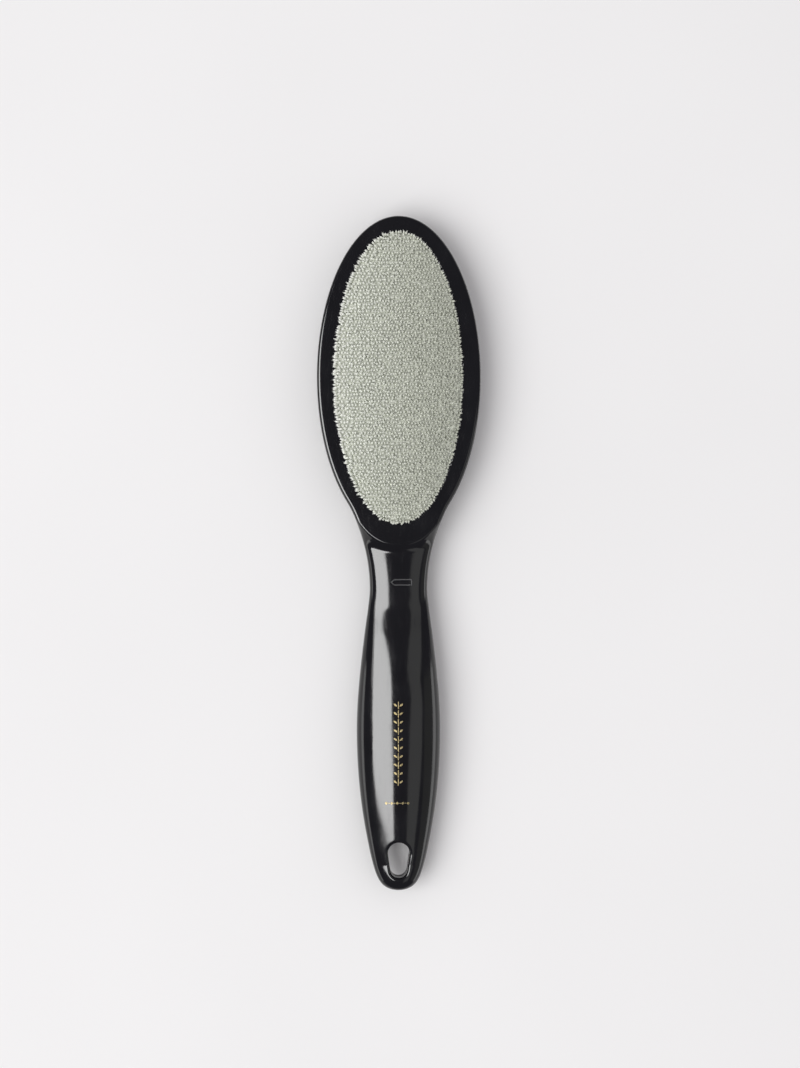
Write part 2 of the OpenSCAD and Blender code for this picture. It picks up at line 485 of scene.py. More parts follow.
def shell_points(border, recess, hole):
    """Points for the outer surface: rows that follow each rounded edge, then a plain grid."""
    kept = [tuple(p) for p in np.vstack([border, recess, hole])]
    start = len(kept)
    clear = 0.02

    def allowed(p):
        x, y = np.array([[p[0]], [p[1]]])
        return (
            abs(p[0]) < half_width(y)[0] - clear
            and recess_share(*p) > 1.0005
            and hole_distance(x, y)[0] > clear
        )

    def add(points, gap):
        kept.extend(spaced([tuple(p) for p in points if allowed(p)], kept, gap))

    for grow in HOLE_ROWS:
        add(hole_loop(grow), min(0.9 * grow, 0.14) if grow < 0.2 else 0.1)
    for grow in RECESS_ROWS:
        add(oval_line(RECESS_A + grow, RECESS_B + grow, 620), 0.05)
    normals = inward(border)
    for inset in BORDER_ROWS:
        add(border + inset * normals, min(0.9 * inset, 0.18) if inset < 0.3 else 0.17)
    for inset in CAP_ROWS:
        add(cap_line(inset), 0.19)
    add(fill_points(0.75, 0.8), 0.5)
    return kept[start:]


def build_outer():
    """The closed outer form of one half, down to its joint face, without its cavity."""
    border = outline(0.6)
    recess = oval_line(RECESS_A, RECESS_B, 480)
    hole = hole_loop(0)
    flat, faces = triangulate([border, recess, hole], shell_points(border, recess, hole))
    used = np.unique(faces)
    renumber = -np.ones(len(flat), int)
    renumber[used] = np.arange(len(used))
    flat, faces = flat[used], renumber[faces]
    points = np.column_stack([flat, height(flat[:, 0], flat[:, 1])]).tolist()
    faces = [tuple(f) for f in faces]
    where = {tuple(p): k for k, p in enumerate(flat)}

    def top_ring(loop):
        return [where[tuple(p)] for p in loop]

    def ring(loop, z):
        start = len(points)
        points.extend([p[0], p[1], z] for p in loop)
        return list(range(start, start + len(loop)))

    def join(upper, lower, outward):
        for k in range(len(upper)):
            n = (k + 1) % len(upper)
            quad = (upper[k], lower[k], lower[n], upper[n])
            faces.append(quad if outward else quad[::-1])

    border_top, recess_top, hole_top = top_ring(border), top_ring(recess), top_ring(hole)
    low = ring(border, SEAM_H)
    foot = ring(border + SEAM_IN * inward(border), 0.0)
    join(border_top, low, True)
    join(low, foot, True)
    floor_ring = ring(recess, RECESS_Z)
    join(recess_top, floor_ring, False)
    faces.append(tuple(floor_ring))
    hole_mid = ring(hole, HOLE_SEAM_H)
    hole_foot = ring(hole - HOLE_SEAM_IN * inward(hole), 0.0)
    join(hole_top, hole_mid, False)
    join(hole_mid, hole_foot, False)

    base = [np.array([points[k][:2] for k in loop]) for loop in (foot, hole_foot)]
    ids = foot + hole_foot
    for f in triangulate(base, [])[1]:
        faces.append((ids[f[2]], ids[f[1]], ids[f[0]]))
    return points, faces


def box_mesh(name, low, high):
    """A box between two corners."""
    corners = list(itertools.product(*zip(low, high)))
    faces = [(0, 1, 3, 2), (4, 6, 7, 5), (0, 4, 5, 1), (2, 3, 7, 6), (0, 2, 6, 4), (1, 5, 7, 3)]
    return make_object(name, corners, faces, smooth=False)


def prism(name, loop, bottom, top):
    """A straight-sided solid over an anticlockwise loop."""
    count = len(loop)
    points = [(p[0], p[1], z) for z in (bottom, top) for p in loop]
    faces = [(k, (k + 1) % count, count + (k + 1) % count, count + k) for k in range(count)]
    faces.append(tuple(range(count - 1, -1, -1)))
    faces.append(tuple(range(count, 2 * count)))
    return make_object(name, points, faces, smooth=False)


def round_prism(name, x, y, radius, bottom, top):
    """An upright cylinder."""
    turn = np.linspace(0, 2 * math.pi, 48, endpoint=False)
    loop = np.column_stack([x + radius * np.cos(turn), y + radius * np.sin(turn)])
    return prism(name, loop, bottom, top)


# Inside a half: the hollow's ceiling in the head and its end in the handle, the ribs and the
# centres of the locating pins
HEAD_CEILING, CAVITY_END = RECESS_Z - 1.8, -108.2
CEILING_LOW, CEILING_END = 0.4, 4.0
CROSS_RIBS = (28, 48, 68, 88, 108, -8, -32, -56, -80, -98)
LONG_RIB = (9, 121)
RIB_T, RIB_GAP = 1.2, 0.3
PINS = ((0, 116), (-18, 68), (18, 68), (0, 22), (0, -32), (0, -98))
PIN_R, PIN_L, PIN_ROOT, BOSS_R = 1.5, 2.8, 0.5, 3.1
PIN_GAP, SOCKET_SPARE = 0.05, 0.3

# How far a cutter reaches past the surface it cuts, and sizes beyond the half's own
PAST, OVER_X, OVER_Z = 1.0, 40, 12


def cavity():
    """The hollow inside one half, less its ribs and bosses."""
    line = outline(1.6)
    loop = line + WALL * inward(line)
    loop = loop[loop[:, 1] > CAVITY_END]
    left_end = int(np.argmin(np.where(loop[:, 0] > 0, np.inf, loop[:, 1])))
    loop = np.roll(loop, -left_end, axis=0)

    def cavity_height(x, y):
        full = along(y, 3)
        across = np.clip(np.abs(x) / np.maximum(along(y, 1) - WALL, 1), 0, 1)
        handle = (along(y, 2) - WALL) * (1 - across**full) ** (1 / full)
        neck = np.where(y > CEILING_END, HEAD_CEILING, 0)
        inside = np.where(y > LEAVE_Y, HEAD_CEILING, np.maximum(handle, neck))
        return np.maximum(inside, CEILING_LOW)

    edge = 0.8
    free = [p for p in fill_points(2.0, WALL + edge) if p[1] > loop[:, 1].min() + edge]
    flat, tris = triangulate([loop], spaced(free, [tuple(p) for p in loop], 1.0))
    count = len(flat)
    top = np.column_stack([flat, cavity_height(flat[:, 0], flat[:, 1])])
    bottom = np.column_stack([flat, np.full(count, -PAST)])
    faces = caps(tris, count) + walls(tris, count)
    hollow = make_object("hollow", np.vstack([top, bottom]), faces, smooth=False)
    half = RIB_T / 2
    ribs = [((-OVER_X, y - half), (OVER_X, y + half)) for y in CROSS_RIBS]
    ribs.append(((-half, LONG_RIB[0]), (half, LONG_RIB[1])))
    for low, high in ribs:
        boolean(hollow, box_mesh("rib", (*low, RIB_GAP), (*high, OVER_Z)))
    for x, y in PINS:
        boolean(hollow, round_prism("boss", x, y, BOSS_R, 0, OVER_Z))
    return hollow


# The direction mark: its middle, length and width, and its groove's width and depth
MARK_X, MARK_Y, MARK_L, MARK_W = 0.9, -11.0, 8.4, 2.5
MARK_LINE, MARK_DEPTH = 0.45, 0.25


def mark_cutter(material):
    """The groove of the direction mark: the outline of a long arrow that points to the left."""
    left, right = MARK_X - MARK_L / 2, MARK_X + MARK_L / 2
    shoulder = left + 0.62 * MARK_W

    def arrow(inset):
        half = MARK_W / 2 - inset
        return [
            (right - inset, MARK_Y + half),
            (shoulder, MARK_Y + half),
            (left + 1.5 * inset, MARK_Y),
            (shoulder, MARK_Y - half),
            (right - inset, MARK_Y - half),
        ]

    groove = prism("mark", arrow(0), NECK_H - MARK_DEPTH, NECK_H + 2 * PAST)
    groove.data.materials.append(material)
    core = prism("core", arrow(MARK_LINE), NECK_H - PAST, NECK_H + 3 * PAST)
    return boolean(groove, core)


# --- Materials ---


class Nodes:
    """Short calls for building one material's node tree."""

    def __init__(self, name):
        self.material = bpy.data.materials.new(name)
        self.material.use_nodes = True
        self.tree = self.material.node_tree
        self.shader = self.tree.nodes["Principled BSDF"]
        self.place = self.tree.nodes.new("ShaderNodeTexCoord").outputs["Object"]

    def add(self, kind, **values):
        """A node with its properties, or the values of its inputs."""
        node = self.tree.nodes.new(kind)
        for key, value in values.items():
            if hasattr(node, key):
                setattr(node, key, value)
            else:
                node.inputs[key].default_value = value
        return node

    def link(self, out, socket):
        self.tree.links.new(out, socket)

    def noise(self, scale, detail=3, rough=0.5, place=None):
        node = self.add("ShaderNodeTexNoise", Scale=scale, Detail=detail, Roughness=rough)
        self.link(place or self.place, node.inputs["Vector"])
        return node.outputs["Fac"]

    def stretch(self, x, y, z):
        """Object coordinates, scaled along each axis."""
        node = self.add("ShaderNodeMapping")
        node.inputs["Scale"].default_value = (x, y, z)
        self.link(self.place, node.inputs["Vector"])
        return node.outputs["Vector"]

    def span(self, value, a, b, low, high):
        """A value's range from a to b, stretched to the range from low to high."""
        node = self.add("ShaderNodeMapRange")
        self.link(value, node.inputs["Value"])
        for key, number in zip(("From Min", "From Max", "To Min", "To Max"), (a, b, low, high)):
            node.inputs[key].default_value = number
        return node.outputs["Result"]

    def math(self, kind, *values):
        node = self.add("ShaderNodeMath", operation=kind)
        for value, socket in zip(values, node.inputs):
            if isinstance(value, (int, float)):
                socket.default_value = value
            else:
                self.link(value, socket)
        return node.outputs[0]

    def ramp(self, value, *stops):
        """Colours along a value, each stop a place and a colour."""
        node = self.add("ShaderNodeValToRGB")
        self.link(value, node.inputs["Fac"])
        marks = node.color_ramp.elements
        while len(marks) < len(stops):
            marks.new(0.5)
        for mark, (place, colour) in zip(marks, stops):
            mark.position = place
            mark.color = (*colour, 1)
        return node.outputs["Color"]

    def colour(self, value, *stops):
        """The base colour: a value as it comes, or a ramp along it."""
        self.link(self.ramp(value, *stops) if stops else value, self.shader.inputs["Base Color"])

    def roughness(self, out):
        self.link(out, self.shader.inputs["Roughness"])

    def bump(self, value, strength, distance):
        node = self.add("ShaderNodeBump", Strength=strength, Distance=distance)
        self.link(value, node.inputs["Height"])
        self.link(node.outputs["Normal"], self.shader.inputs["Normal"])

    def fixed(self, **values):
        """Constant values on the shader's own inputs."""
        for key, value in values.items():
            self.shader.inputs[key.replace("_", " ")].default_value = value


def black_plastic():
    """Polished black plastic: a faint ripple from the mould, and fine handling marks."""
    n = Nodes("black_plastic")
    cloud = n.noise(90, 4)
    n.colour(cloud, (0.3, (0.0015, 0.0015, 0.0019)), (0.75, (0.0032, 0.0032, 0.004)))
    scuffs = n.noise(1, 5, 0.7, n.stretch(900, 140, 900))
    worn = n.span(scuffs, 0.52, 0.75, 0.0, 0.09)
    n.roughness(n.math("ADD", n.span(cloud, 0.3, 0.7, 0.09, 0.13), worn))
    ripple = n.noise(260, 2)
    n.bump(ripple, 0.25, 0.00003)
    n.fixed(IOR=1.5)
    return n.material


def etched_plastic():
    """The same plastic with the spark-etched grain of the direction mark's groove."""
    n = Nodes("etched_plastic")
    grain = n.noise(5000, 2)
    n.colour(grain, (0.3, (0.009, 0.009, 0.010)), (0.7, (0.017, 0.017, 0.019)))
    n.roughness(n.span(grain, 0.3, 0.7, 0.45, 0.6))
    n.bump(grain, 0.5, 0.00003)
    return n.material


def velour_pile():
    """Pile fibres: darker and greener at the root, with painted shade down in the pile,
    pale and a little shiny at the tip.

    The pile's tufts lean to the left. Its colour is paler towards the left edge and darker
    towards the right: painted light and shade from the key light on the left.
    """
    n = Nodes("velour_pile")
    split = n.add("ShaderNodeSeparateXYZ")
    n.link(n.place, split.inputs[0])
    rise = n.math("ABSOLUTE", n.math("SUBTRACT", split.outputs["Z"], MID_Z * MM))
    up = n.span(rise, RIM_Z * MM, PILE_TOP * MM, 0, 1)
    tuft = n.noise(820, 1)
    fine = n.noise(2600, 1)
    mixed = n.math("ADD", up, n.span(tuft, 0.3, 0.7, -0.12, 0.12))
    mixed = n.math("ADD", mixed, n.span(fine, 0.3, 0.7, -0.1, 0.1))
    # Darker towards the root: painted shade down in the pile, with a random tone from the noise
    fibre = n.ramp(
        mixed,
        (0.0, (0.80, 0.82, 0.735)),
        (0.4, (0.90, 0.92, 0.845)),
        (0.75, (0.945, 0.955, 0.90)),
        (1.0, (0.96, 0.965, 0.935)),
    )
    # Painted light and shade: paler at the left, darker at the right, lit from the left
    painted_side_light = n.ramp(
        n.span(split.outputs["X"], -PAD_A * MM, PAD_A * MM, 0, 1),
        (0.0, (1.0, 1.0, 1.0)),
        (0.12, (0.955, 0.965, 0.95)),
        (0.6, (0.765, 0.775, 0.735)),
        (1.0, (0.59, 0.60, 0.55)),
    )
    blend = n.add("ShaderNodeMix", data_type="RGBA", blend_type="MULTIPLY")
    blend.inputs["Factor"].default_value = 1
    n.link(fibre, blend.inputs[6])
    n.link(painted_side_light, blend.inputs[7])
    n.colour(blend.outputs[2])
    n.roughness(n.span(tuft, 0.3, 0.7, 0.42, 0.6))
    n.fixed(Sheen_Weight=0.25, Sheen_Roughness=0.4, IOR=1.45)
    return n.material


def woven_ground():
    """The woven cloth that the pile stands in: plain weave, grey-green, with painted shade
    between the threads.
    """
    n = Nodes("woven_ground")
    place = n.stretch(1, 1, 0)
    threads = []
    for direction, scale in (("X", 420), ("Y", 360)):
        bands = n.add("ShaderNodeTexWave", bands_direction=direction, Scale=scale, Distortion=0.6)
        n.link(place, bands.inputs["Vector"])
        threads.append(bands.outputs["Fac"])
    weave = n.math("MULTIPLY", *threads)
    # Darker where the weave is low: painted shade in the gaps between the threads
    n.colour(
        weave,
        (0.0, (0.66, 0.68, 0.60)),
        (0.6, (0.80, 0.82, 0.74)),
        (1.0, (0.86, 0.88, 0.80)),
    )
    n.roughness(n.span(weave, 0, 1, 0.95, 0.8))
    n.bump(weave, 0.7, 0.00015)
    return n.material


def foam():
    """Open-cell foam sheet, darker in its pores: painted shade in the open cells."""
    n = Nodes("foam")
    cells = n.add("ShaderNodeTexVoronoi", feature="F1", Scale=2200)
    n.link(n.place, cells.inputs["Vector"])
    open_cells = cells.outputs["Distance"]
    # Darker in the middle of each cell: painted shade in the open pores
    n.colour(
        open_cells,
        (0.0, (0.42, 0.40, 0.32)),
        (0.5, (0.72, 0.70, 0.61)),
        (1.0, (0.78, 0.77, 0.70)),
    )
    n.roughness(n.span(n.noise(900), 0.3, 0.7, 0.85, 1.0))
    n.bump(open_cells, 0.8, 0.0002)
    return n.material


def adhesive():
    """Double-sided film: cream, with a faint mottle and fine creases."""
    n = Nodes("adhesive")
    mottle = n.noise(160, 4)
    n.colour(mottle, (0.3, (0.70, 0.65, 0.50)), (0.7, (0.86, 0.82, 0.69)))
    n.roughness(n.span(mottle, 0.3, 0.7, 0.35, 0.55))
    n.bump(n.noise(1, 3, 0.5, n.stretch(700, 90, 90)), 0.4, 0.0001)
    return n.material


def gold_foil():
    """Hot-stamped foil: pale gold, thinner and darker in specks where it has worn."""
    n = Nodes("gold_foil")
    specks = n.noise(2400, 3, 0.6)
    n.colour(
        specks,
        (0.30, (0.11, 0.085, 0.035)),
        (0.42, (0.23, 0.185, 0.09)),
        (0.8, (0.33, 0.275, 0.15)),
    )
    n.roughness(n.span(specks, 0.3, 0.7, 0.5, 0.3))
    n.bump(specks, 0.3, 0.00002)
    n.fixed(Metallic=0.85)
    return n.material


# --- Pieces ---


def dress(obj):
    """Puts a piece on the brush's one body."""
    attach(obj, "root")


def build_shells(plastic, etched):
    """The two half shells: sockets in the front one, locating pins on the rear one."""
    points, faces = build_outer()
    front = make_object("front_half", points, faces, plastic)
    boolean(front, cavity())
    boolean(front, mark_cutter(etched))
    rear = mirrored(front, "rear_half")
    for x, y in PINS:
        socket = round_prism("socket", x, y, PIN_R + PIN_GAP, -PAST, PIN_L + SOCKET_SPARE)
        boolean(front, socket)
        boolean(rear, round_prism("pin", x, y, PIN_R, -PIN_ROOT, PIN_L), "UNION")
    for shell, node in ((front, "front_shell"), (rear, "rear_shell")):
        shell.data.shade_smooth()
        shell.data.set_sharp_from_angle(angle=SHARP)
        dress(shell)
        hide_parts(node)


def oval_points(step, a, b):
    """A staggered grid inside an oval about the pad's middle."""
    clear = 0.4
    points = []
    for k, y in enumerate(np.arange(-b, b, step * STAGGER)):
        for x in np.arange(-a + (k % 2) * step / 2, a, step):
            if math.hypot(x / (a - clear), y / (b - clear)) < 1:
                points.append((x, y + PAD_Y))
    return points


def oval_slab(name, shrink, bottom, top, edge, step, material, relief=None):
    """A closed oval sheet with rounded edges, and a relief on its upper face."""
    around = 300
    a, b = PAD_A - shrink, PAD_B - shrink
    rim = oval_line(a - edge, b - edge, around)
    flat, tris = triangulate([rim], oval_points(step, a - edge, b - edge))
    count = len(flat)
    lift = relief(flat[:, 0], flat[:, 1]) if relief else np.zeros(count)
    lift[:around] = 0
    upper = np.column_stack([flat, top + lift])
    lower = np.column_stack([flat, np.full(count, bottom)])
    points = [*upper.tolist(), *lower.tolist()]
    faces = caps(tris, count)
    rings = [range(around)]
    middle, half = (top + bottom) / 2, (top - bottom) / 2
    for angle in np.radians([60, 30, 0, -30, -60]):
        inset = edge * (1 - math.cos(angle))
        rings.append(range(len(points), len(points) + around))
        z = middle + half * math.sin(angle)
        points.extend([x, y, z] for x, y in oval_line(a - inset, b - inset, around))
    rings.append(range(count, count + around))
    for upper_ring, lower_ring in zip(rings, rings[1:]):
        for k in range(around):
            n = (k + 1) % around
            faces.append((upper_ring[k], lower_ring[k], lower_ring[n], upper_ring[n]))
    return make_object(name, points, faces, material)


# The pile: the tufts' spacing in a row and from row to row, and their roots' depth in the ground
TUFT_X, TUFT_Y = 1.16, 1.33
ROOT_Z = RIM_Z - 0.14
ROOM = PILE_TOP - RIM_Z

# The outermost rows' distance from the pad's edge, and that of the ring of tufts along it
ROWS_IN, RING_IN, RING_STEP = 0.95, 0.5, 0.95

# How far the tufts lean to the left, and outwards at the edge, per millimetre of height
LEAN, SPLAY = 0.2, 0.58

# The loose fibres of each tuft: their number, radius and how much they draw together at the top
FIBRES, FIBRE_R, GATHER = 6, 0.13, 0.35

# A tuft's middle: shares of its height with the radius there, and how far its top rises and leans
CORE_LEVELS = ((0.0, 0.30), (0.34, 0.42), (0.58, 0.38), (0.74, 0.22))
CORE_TOP, CORE_TOP_LEAN, CORE_SIDES = 0.83, 0.85, 6


def weave_relief(x, y):
    """Low knobs where the pile's tufts stand."""
    return 0.06 * np.sin(2 * math.pi * x / TUFT_X) * np.sin(2 * math.pi * y / TUFT_Y)


def lay_tufts():
    """Each tuft of the pile: its place, height, and lean per millimetre.

    The tufts stand in staggered rows, with one ring of them that follows the pad's edge.
    """
    rng = np.random.default_rng(26)
    columns = np.arange(-int(PAD_A / TUFT_X) - 1, int(PAD_A / TUFT_X) + 2)
    rows = np.arange(-int(PAD_B / TUFT_Y) - 1, int(PAD_B / TUFT_Y) + 2)
    col, row = (values.ravel() for values in np.meshgrid(columns, rows))
    inner = np.column_stack([(col + 0.5 * (row % 2)) * TUFT_X, row * TUFT_Y])
    held = np.hypot(inner[:, 0] / (PAD_A - ROWS_IN), inner[:, 1] / (PAD_B - ROWS_IN)) < 1
    inner, col, row = inner[held], col[held], row[held]
    inner = inner + rng.normal(0, 1, inner.shape) * (0.08, 0.1)
    edge = oval_line(PAD_A - RING_IN, PAD_B - RING_IN, 720) - (0, PAD_Y)
    ring = resample(edge, RING_STEP)
    ring = ring + rng.normal(0, 0.06, ring.shape)
    twill = np.sin(2 * math.pi * (col + 2 * row) / 4 + 0.6 * np.sin(0.9 * row))
    x, y = np.vstack([inner, ring]).T
    twill = np.concatenate([twill, np.zeros(len(ring))])
    inset = (1 - np.hypot(inner[:, 0] / PAD_A, inner[:, 1] / PAD_B)) * PAD_A
    near_edge = 0.5 * np.clip(1.6 - inset / 2, 0, 1)
    splay = SPLAY * np.concatenate([near_edge, np.ones(len(ring))])
    away = np.column_stack([x / PAD_A**2, y / PAD_B**2])
    away /= np.hypot(*away.T)[:, None] + 1e-9
    count = len(x)
    tall = ROOM - 0.23 + 0.07 * twill + rng.normal(0, 0.06, count).clip(-0.2, 0.14)
    lean_x = rng.normal(-LEAN, 0.11, count) - 0.1 * twill + splay * away[:, 0]
    lean_y = rng.normal(0, 0.12, count) + 0.6 * splay * away[:, 1]
    return x, y, tall, lean_x, lean_y


def repeated(pattern, size, count):
    """One tuft's or fibre's faces, repeated for all, each with its own run of points."""
    return (np.array(pattern)[None] + size * np.arange(count)[:, None, None]).reshape(-1, 3)


def pile_cores(name, tufts, material):
    """The dense middle of each tuft: a six-sided bundle with a rounded top."""
    x, y, tall, lean_x, lean_y = tufts
    rng = np.random.default_rng(7)
    count, top = len(x), CORE_SIDES * len(CORE_LEVELS)
    points = np.zeros((count, top + 1, 3))
    for ring, (share, radius) in enumerate(CORE_LEVELS):
        rise = share * tall
        wide = radius * rng.uniform(0.92, 1.08, count)
        for k in range(CORE_SIDES):
            angle = 2 * math.pi * (k + 0.5 * ring) / CORE_SIDES
            points[:, ring * CORE_SIDES + k] = np.column_stack(
                [
                    x + lean_x * rise + wide * math.cos(angle),
                    y + lean_y * rise + 1.15 * wide * math.sin(angle) + PAD_Y,
                    ROOT_Z + rise,
                ]
            )
    leaned = CORE_TOP_LEAN * tall
    points[:, top] = np.column_stack(
        [x + lean_x * leaned, y + lean_y * leaned + PAD_Y, ROOT_Z + CORE_TOP * tall]
    )
    pattern = [(0, k + 1, k) for k in range(1, CORE_SIDES - 1)]
    for low in range(0, top - CORE_SIDES, CORE_SIDES):
        high = low + CORE_SIDES
        for k in range(CORE_SIDES):
            n = (k + 1) % CORE_SIDES
            pattern += [(low + k, low + n, high + k), (low + n, high + n, high + k)]
    last = top - CORE_SIDES
    pattern += [(last + k, last + (k + 1) % CORE_SIDES, top) for k in range(CORE_SIDES)]
    faces = repeated(pattern, top + 1, count)
    return make_object(name, points.reshape(-1, 3), faces, material, sharp=math.pi)


def pile_fibres(name, tufts, material):
    """Loose fibres round and above each tuft's middle, each a closed three-sided taper."""
    rng = np.random.default_rng(11)
    x, y, tall, lean_x, lean_y = (np.repeat(values, FIBRES) for values in tufts)
    total = len(x)
    turn = rng.uniform(0, 2 * math.pi, total)
    out = np.sqrt(rng.uniform(0.02, 1, total))
    from_x, from_y = 0.42 * out * np.cos(turn), 0.50 * out * np.sin(turn)
    root_x, root_y = x + from_x, y + from_y
    over = np.maximum(np.hypot(root_x / (PAD_A - 0.1), root_y / (PAD_B - 0.1)), 1)
    root_x, root_y = root_x / over, root_y / over
    rise = np.minimum(tall * rng.uniform(0.85, 1.1, total), ROOM - 0.02)
    at_rim = np.hypot(x / PAD_A, y / PAD_B) > 0.95
    loose = rng.normal(0, 1, (2, total)) * np.where(at_rim, 0.07, 0.15)
    drift_x = (lean_x + loose[0]) * rise - GATHER * from_x
    drift_y = (lean_y + loose[1]) * rise - GATHER * from_y
    root = np.column_stack([root_x, root_y + PAD_Y, np.full(total, ROOT_Z)])
    depth = RIM_Z - ROOT_Z
    knee = root + np.column_stack([0.42 * drift_x, 0.42 * drift_y, 0.56 * rise + depth])
    tip = root + np.column_stack([drift_x, drift_y, rise + depth])
    thick = (FIBRE_R * rng.uniform(0.8, 1.2, total))[:, None]
    spin = rng.uniform(0, 2 * math.pi, total)
    points = np.zeros((total, 7, 3))
    for k in range(3):
        angle = spin + 2 * math.pi * k / 3
        around = np.column_stack([np.cos(angle), np.sin(angle), np.zeros(total)])
        points[:, k] = root + around * thick
        points[:, 3 + k] = knee + around * thick * 0.95
    points[:, 6] = tip
    pattern = []
    for k in range(3):
        n = (k + 1) % 3
        pattern += [(k, n, 3 + n), (k, 3 + n, 3 + k), (3 + k, 3 + n, 6)]
    pattern.append((2, 1, 0))
    faces = repeated(pattern, 7, total)
    return make_object(name, points.reshape(-1, 3), faces, material, sharp=math.pi)


def build_pads(ground, cushion, pile):
    """On each face a woven cloth with its pile, and the foam sheet under it."""
    cloth = oval_slab(
        "front_cloth",
        shrink=0.1,
        bottom=RIM_Z - GROUND_T + 0.02,
        top=RIM_Z - 0.08,
        edge=0.14,
        step=0.42,
        material=ground,
        relief=weave_relief,
    )
    soft = oval_slab(
        "front_foam",
        shrink=0.35,
        bottom=FOAM_LOW[2] - MID_Z,
        top=FOAM_HIGH[2] - MID_Z,
        edge=0.45,
        step=1.4,
        material=cushion,
    )
    tufts = lay_tufts()
    cores = pile_cores("front_pile_cores", tufts, pile)
    front = [cloth, soft, cores, pile_fibres("front_pile_fibres", tufts, pile)]
    rear = [mirrored(piece, piece.name.replace("front", "rear")) for piece in front]
    for side, (cloth, soft, *fuzz) in (("front", front), ("rear", rear)):
        for piece in (cloth, *fuzz):
            dress(piece)
        dress(soft)
        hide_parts(f"{side}_velour_pad")
        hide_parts(f"{side}_foam_layer")


def foil_patch(loop):
    """A thin closed patch of foil that follows the handle's surface."""
    step, above, below = 0.3, 0.025, 0.03
    loop = resample(loop, step)
    across, down = (np.arange(low, high, step) for low, high in zip(loop.min(0), loop.max(0)))
    free = np.array(list(itertools.product(across, down)))
    free = [tuple(p) for p in free[within(free, loop)]]
    flat, tris = triangulate([loop], spaced(free, [tuple(p) for p in loop], 0.6 * step))
    count = len(flat)
    lie = height(flat[:, 0], flat[:, 1])
    top = np.column_stack([flat, lie + above])
    bottom = np.column_stack([flat, lie - below])
    faces = caps(tris, count) + walls(tris, count)
    return make_object("foil", np.vstack([top, bottom]), faces)


def lens(x, y, half_w, half_l):
    """A pointed leaf: two arcs that meet at its ends."""
    t = np.linspace(-1, 1, 13)
    bulge = half_w * (1 - t**2)
    right = np.column_stack([bulge, half_l * t])
    left = np.column_stack([-bulge[-2:0:-1], half_l * t[-2:0:-1]])
    return np.vstack([right, left]) + (x, y)


def bar(x, y, half_w, half_l):
    """An upright rectangle about a point."""
    corners = np.array([(-1, -1), (1, -1), (1, 1), (-1, 1)])
    return corners * (half_w, half_l) + (x, y)


def turned(loop, centre, degrees):
    """A line turned about a point."""
    a = math.radians(degrees)
    turn = np.array([[math.cos(a), math.sin(a)], [-math.sin(a), math.cos(a)]])
    return (loop - centre) @ turn + centre


# The foil's stem with its leaves: x, upper and lower end, and the pairs of leaves on it
STEM_X, STEM_TOP, STEM_END, LEAF_PAIRS = -0.3, -56.4, -89.2, 10
STEM_HALF_W, STEM_BREAK = 0.16, 0.28
LEAF_X, LEAF_UP, LEAF_HALF_W, LEAF_HALF_L, LEAF_TURN = 1.12, 0.1, 0.36, 0.86, 52

# The row below the stem: its middle, the lozenges' distance and half side, the bars between them
ROW_X, ROW_Y, ROW_STEP, LOZENGE_HALF = -0.7, -95.7, 2.1, 0.42
ROW_BAR = (0.32, 0.12)


def build_foil(material):
    """A plain ornament: a stem with slanted leaves down the handle, and a short row below it."""
    shapes = []
    pitch = (STEM_TOP - STEM_END) / LEAF_PAIRS
    for k in range(LEAF_PAIRS):
        y = STEM_TOP - (k + 0.5) * pitch
        shapes.append(bar(STEM_X, y, STEM_HALF_W, pitch / 2 - STEM_BREAK))
        for side in (-1, 1):
            place = (STEM_X + side * LEAF_X, y + LEAF_UP)
            shapes.append(turned(lens(*place, LEAF_HALF_W, LEAF_HALF_L), place, -side * LEAF_TURN))
    for k in range(-2, 3):
        place = (ROW_X + ROW_STEP * k, ROW_Y)
        shapes.append(turned(bar(*place, LOZENGE_HALF, LOZENGE_HALF), place, 45))
        if k < 2:
            shapes.append(bar(ROW_X + ROW_STEP * (k + 0.5), ROW_Y, *ROW_BAR))
    joined = bmesh.new()
    for shape in shapes:
        patch = foil_patch(shape)
        joined.from_mesh(patch.data)
        bpy.data.objects.remove(patch)
    mesh = bpy.data.meshes.new("handle_foil")
    joined.to_mesh(mesh)
    joined.free()
    mesh.materials.append(material)
    mesh.shade_smooth()
    mesh.set_sharp_from_angle(angle=math.radians(40))
    dress(add_object("handle_foil", mesh))


# --- Studio ---


# Lengths in the studio are in metres, with the same origin and axes as the brush
CAMERA_PLACE, CAMERA_AIM, SHOWN_HEIGHT = (-0.025, 0.0076, 0.85), (0.0006, 0.0076, 0.009), 0.4135
FLOOR_HALF = 20.0
WORLD_DIFFUSE, WORLD_GLOSSY = (0.60, 0.585, 0.60), (0.215, 0.21, 0.25)
WORLD_SEEN = (0.84, 0.84, 0.84)

# The cards' heights and outlines: x and y by the height for the high ones, in metres for the low
HIGH, LOW = 1.6, 0.3
KEY_EDGE = ((-0.11, -0.43), (-0.12, -0.25), (-0.16, -0.14), (-0.14, -0.01), (-0.15, 0.07))
KEY_TOP = ((-0.2, 0.13), (-0.37, 0.235), (-0.55, 0.3))
KEY_BACK = ((-1, 0.3), (-1, -0.31), (-0.8, -0.42))
HALO = ((-1.0, -0.02), (-1.0, 0.32), (-1.22, 0.32), (-1.22, 0.05))
FILL_LEFT = ((0.09, 0.06), (0.06, -0.015), (0.1, -0.05), (0.09, -0.11), (0.075, -0.16))
FILL_END = ((0.08, -0.3), (0.19, -0.3), (0.2, -0.22), (0.25, -0.12))
FILL_RIGHT = ((0.25, -0.06), (0.21, -0.025), (0.26, 0.01), (0.26, 0.06))

# Upright cards beside the handle: name, x, height and strength
WALLS = (("left", -0.6, 0.14, 2.3), ("right", 0.6, 0.17, 2.3), ("right_far", 0.61, 0.6, 0.4))
WALL_FROM, WALL_TO = -0.6, 0.0


